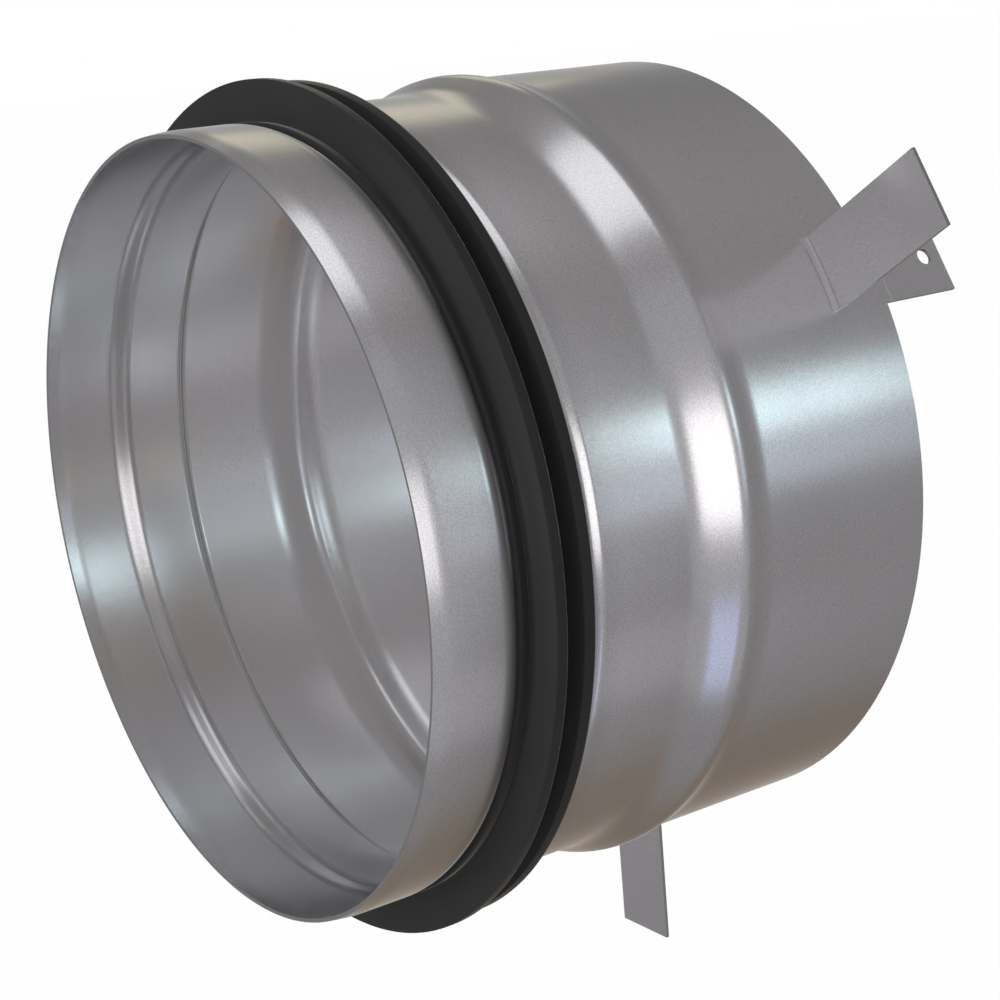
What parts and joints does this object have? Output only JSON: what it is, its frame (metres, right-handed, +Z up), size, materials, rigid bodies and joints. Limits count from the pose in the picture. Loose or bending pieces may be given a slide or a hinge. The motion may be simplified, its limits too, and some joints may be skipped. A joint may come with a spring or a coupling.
{
  "type": "valve mounting ring",
  "caption": "Short round sheet-metal ring with a duct spigot, a grooved rubber lip gasket, a rolled bead and a wide valve socket with bent fixing lugs.",
  "frame": {"origin": "centre of the spigot's cut rim, on the ring's axis", "axes": "+Y along the ring's axis from the spigot to the valve socket; +Z up, with the lugs at 30, 150 and 270 degrees from +X towards +Z"},
  "size_m": [0.1662, 0.1045, 0.1612],
  "materials": {
    "galvanised_sheet": "galvanised, satin, fine speckle",
    "gasket_rubber": "matt black, moulded"
  },
  "bodies": {
    "root": {"ring_shell": "galvanised_sheet", "lip_gasket": "gasket_rubber", "fixing_strap_1": "galvanised_sheet", "fixing_strap_2": "galvanised_sheet", "fixing_strap_3": "galvanised_sheet"}
  },
  "joints": []
}
